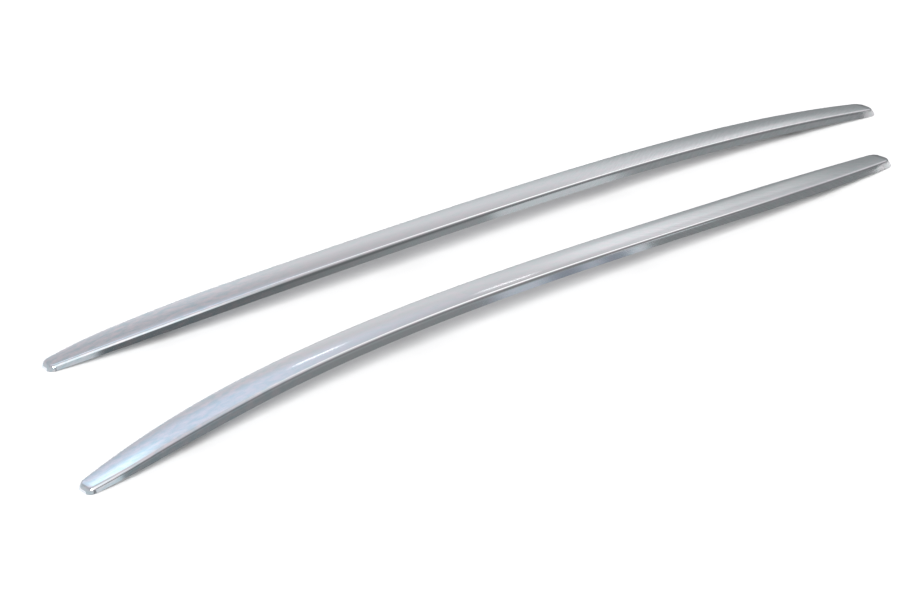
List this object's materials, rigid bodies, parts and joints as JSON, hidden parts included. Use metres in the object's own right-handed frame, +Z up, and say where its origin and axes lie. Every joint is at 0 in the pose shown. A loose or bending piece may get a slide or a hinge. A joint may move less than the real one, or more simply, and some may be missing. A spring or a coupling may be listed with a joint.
{
  "type": "roof side rail pair",
  "caption": "Left and right roof side rails, low and arched, polished, with rounded lowered ends and a slotted underside with threaded nuts and seals for bolting to a car roof.",
  "frame": {"origin": "Middle of the bounding box of the pair, on the floor that the rail ends stand on.", "axes": "+X runs from the front ends to the rear ends, +Y from the left rail to the right rail, +Z is up."},
  "size_m": [1.8558, 0.3788, 0.0591],
  "materials": {
    "polished_aluminium": "bright polished and clear anodised",
    "zinc_plated_steel": "zinc plated",
    "epdm_rubber": "matt moulded"
  },
  "bodies": {
    "root": {"left_rail": "polished_aluminium", "right_rail": "polished_aluminium", "left_slot_nut_1": "zinc_plated_steel", "left_slot_nut_2": "zinc_plated_steel", "left_slot_nut_3": "zinc_plated_steel", "left_slot_nut_4": "zinc_plated_steel", "right_slot_nut_1": "zinc_plated_steel", "right_slot_nut_2": "zinc_plated_steel", "right_slot_nut_3": "zinc_plated_steel", "right_slot_nut_4": "zinc_plated_steel", "left_seal_1": "epdm_rubber", "left_seal_2": "epdm_rubber", "left_seal_3": "epdm_rubber", "left_seal_4": "epdm_rubber", "right_seal_1": "epdm_rubber", "right_seal_2": "epdm_rubber", "right_seal_3": "epdm_rubber", "right_seal_4": "epdm_rubber"}
  },
  "joints": []
}
